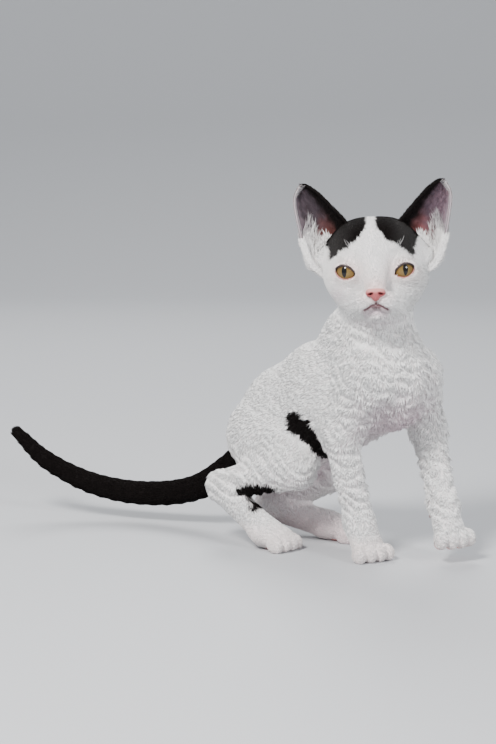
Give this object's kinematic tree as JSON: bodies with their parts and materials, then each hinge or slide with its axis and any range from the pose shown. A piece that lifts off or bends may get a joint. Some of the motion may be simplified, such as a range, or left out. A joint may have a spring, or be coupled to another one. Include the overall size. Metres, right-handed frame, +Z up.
{
  "type": "kitten figure",
  "caption": "Life-size devon rex kitten stepping forward on the floor, its head turned to one side and one forepaw just lifted.",
  "frame": {"origin": "on the floor, under the middle of the kitten's box", "axes": "+Z up, -Y the way the kitten walks, +X the kitten's left side, +Y towards the tip of its tail"},
  "size_m": [0.115, 0.3448, 0.2521],
  "materials": {
    "white_coat": "soft wavy fur",
    "dark_coat": "soft short fur",
    "ear_skin": "thin skin with down",
    "nose_leather": "moist",
    "eye": "wet gloss"
  },
  "bodies": {
    "root": {"chest": "white_coat", "head": "white_coat", "left_ear": "ear_skin", "left_eye": "eye", "left_forearm": "white_coat", "left_forepaw": "white_coat", "left_hindpaw": "white_coat", "left_metatarsus": "white_coat", "left_shank": "white_coat", "left_thigh": "white_coat", "left_upper_arm": "white_coat", "loin": "white_coat", "neck": "white_coat", "nose": "nose_leather", "right_ear": "ear_skin", "right_eye": "eye", "right_forearm": "white_coat", "right_forepaw": "white_coat", "right_hindpaw": "white_coat", "right_metatarsus": "white_coat", "right_shank": "white_coat", "right_thigh": "white_coat", "right_upper_arm": "white_coat", "rump": "white_coat", "tail_middle": "dark_coat", "tail_root": "dark_coat", "tail_tip": "dark_coat"}
  },
  "joints": []
}
